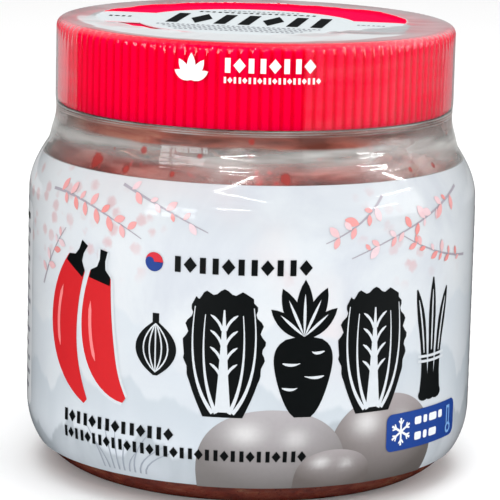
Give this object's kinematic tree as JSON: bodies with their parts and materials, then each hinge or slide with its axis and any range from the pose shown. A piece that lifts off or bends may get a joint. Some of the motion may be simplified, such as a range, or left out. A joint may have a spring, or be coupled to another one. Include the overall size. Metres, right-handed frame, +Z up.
{
  "type": "kimchi jar",
  "caption": "Squat clear plastic jar of cut cabbage kimchi, shut by a ribbed red screw lid, with a printed wrap label and a clear film over the lid.",
  "frame": {"origin": "centre of the flat ring that the jar stands on", "axes": "+Z up along the axis of the jar and its lid; the front of the label faces -Y"},
  "size_m": [0.1, 0.1, 0.1004],
  "materials": {
    "clear_plastic": "clear moulded plastic, slightly hazy",
    "lid_red": "satin moulded plastic, finely ribbed side",
    "lid_paper": "coated paper with a plain printed pattern",
    "clear_film": "thin clear shrink film with fine wrinkles",
    "printed_label": "printed shrink film, satin, pale ground",
    "kimchi": "wet cut cabbage in red chilli seasoning"
  },
  "bodies": {
    "root": {"jar": "clear_plastic", "lid": "lid_red", "lid_sticker": "lid_paper", "film": "clear_film", "label": "printed_label", "kimchi": "kimchi"}
  },
  "joints": []
}
